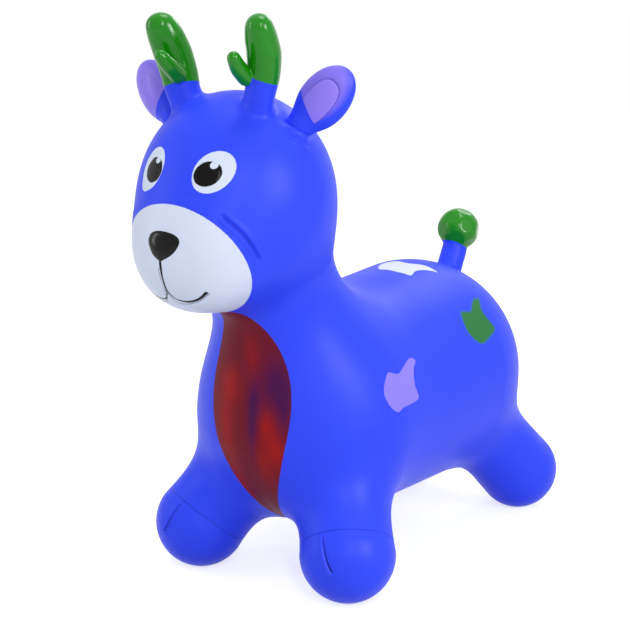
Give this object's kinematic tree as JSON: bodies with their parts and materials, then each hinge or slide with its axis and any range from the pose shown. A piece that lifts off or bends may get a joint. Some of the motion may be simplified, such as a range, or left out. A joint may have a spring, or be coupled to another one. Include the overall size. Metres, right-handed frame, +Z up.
{
  "type": "bouncy ride-on deer",
  "caption": "Inflatable deer of soft PVC that a toddler sits astride and bounces on, holding the antlers, with splayed feet and an air plug in its belly.",
  "frame": {"origin": "on the ground, at the centre of the box that holds the deer, seen from above", "axes": "+X to the deer's left, -Y the way it faces, +Z up"},
  "size_m": [0.2618, 0.5492, 0.5398],
  "materials": {
    "blue_skin": "satin soft PVC",
    "red_skin": "sprayed satin on PVC",
    "white_skin": "sprayed satin on PVC",
    "green_skin": "sprayed gloss on PVC",
    "lilac_skin": "sprayed satin on PVC",
    "black_nose": "gloss black paint",
    "valve_plastic": "moulded PVC"
  },
  "bodies": {
    "torso": {"trunk": "blue_skin", "breast": "red_skin", "valve_collar": "valve_plastic"},
    "head": {"head": "blue_skin", "muzzle": "white_skin", "nose": "black_nose"},
    "antler_left": {"antler_left_stem": "blue_skin", "antler_left_beam": "green_skin"},
    "antler_right": {"antler_right_stem": "blue_skin", "antler_right_beam": "green_skin"},
    "ear_left": {"ear_left": "blue_skin", "ear_left_face": "lilac_skin"},
    "ear_right": {"ear_right": "blue_skin", "ear_right_face": "lilac_skin"},
    "tail": {"tail_stalk": "blue_skin", "tail_bobble": "green_skin"},
    "front_left_leg": {"front_left_foot": "blue_skin"},
    "front_right_leg": {"front_right_foot": "blue_skin"},
    "rear_left_leg": {"rear_left_foot": "blue_skin"},
    "rear_right_leg": {"rear_right_foot": "blue_skin"},
    "plug": {"air_plug": "valve_plastic"}
  },
  "joints": [
    {"name": "head_nod", "type": "hinge", "parent": "torso", "child": "head", "pos_m": [0, -0.1027, 0.2725], "axis": [1, 0, 0], "range_deg": [-6, 6], "stiffness_Nm_per_rad": 30},
    {"name": "tail_wag", "type": "hinge", "parent": "torso", "child": "tail", "pos_m": [0, 0.204, 0.2405], "axis": [1, 0, 0], "range_deg": [-12, 12], "stiffness_Nm_per_rad": 0.15},
    {"name": "antler_left_flex", "type": "hinge", "parent": "head", "child": "antler_left", "pos_m": [0.03455, -0.18155, 0.4509], "axis": [1, 0, 0], "range_deg": [-10, 10], "stiffness_Nm_per_rad": 1},
    {"name": "ear_left_flex", "type": "hinge", "parent": "head", "child": "ear_left", "pos_m": [0.0685, -0.1668, 0.4408], "axis": [1, 0, 0], "range_deg": [-12, 12], "stiffness_Nm_per_rad": 0.08},
    {"name": "front_left_splay", "type": "hinge", "parent": "torso", "child": "front_left_leg", "pos_m": [0.0465, -0.063, 0.126], "axis": [-0.7889, -0.6145, 0], "range_deg": [-3, 6], "stiffness_Nm_per_rad": 40},
    {"name": "rear_left_splay", "type": "hinge", "parent": "torso", "child": "rear_left_leg", "pos_m": [0.0455, 0.14, 0.141], "axis": [0.926, -0.3776, 0], "range_deg": [-3, 6], "stiffness_Nm_per_rad": 40},
    {"name": "antler_right_flex", "type": "hinge", "parent": "head", "child": "antler_right", "pos_m": [-0.03455, -0.18155, 0.4509], "axis": [1, 0, 0], "range_deg": [-10, 10], "stiffness_Nm_per_rad": 1},
    {"name": "ear_right_flex", "type": "hinge", "parent": "head", "child": "ear_right", "pos_m": [-0.0685, -0.1668, 0.4408], "axis": [1, 0, 0], "range_deg": [-12, 12], "stiffness_Nm_per_rad": 0.08},
    {"name": "front_right_splay", "type": "hinge", "parent": "torso", "child": "front_right_leg", "pos_m": [-0.0465, -0.063, 0.126], "axis": [-0.7889, 0.6145, 0], "range_deg": [-3, 6], "stiffness_Nm_per_rad": 40},
    {"name": "rear_right_splay", "type": "hinge", "parent": "torso", "child": "rear_right_leg", "pos_m": [-0.0455, 0.14, 0.141], "axis": [0.926, 0.3776, 0], "range_deg": [-3, 6], "stiffness_Nm_per_rad": 40},
    {"name": "plug_pull", "type": "slide", "parent": "torso", "child": "plug", "axis": [0, 0, -1], "range_m": [0, 0.022]}
  ]
}
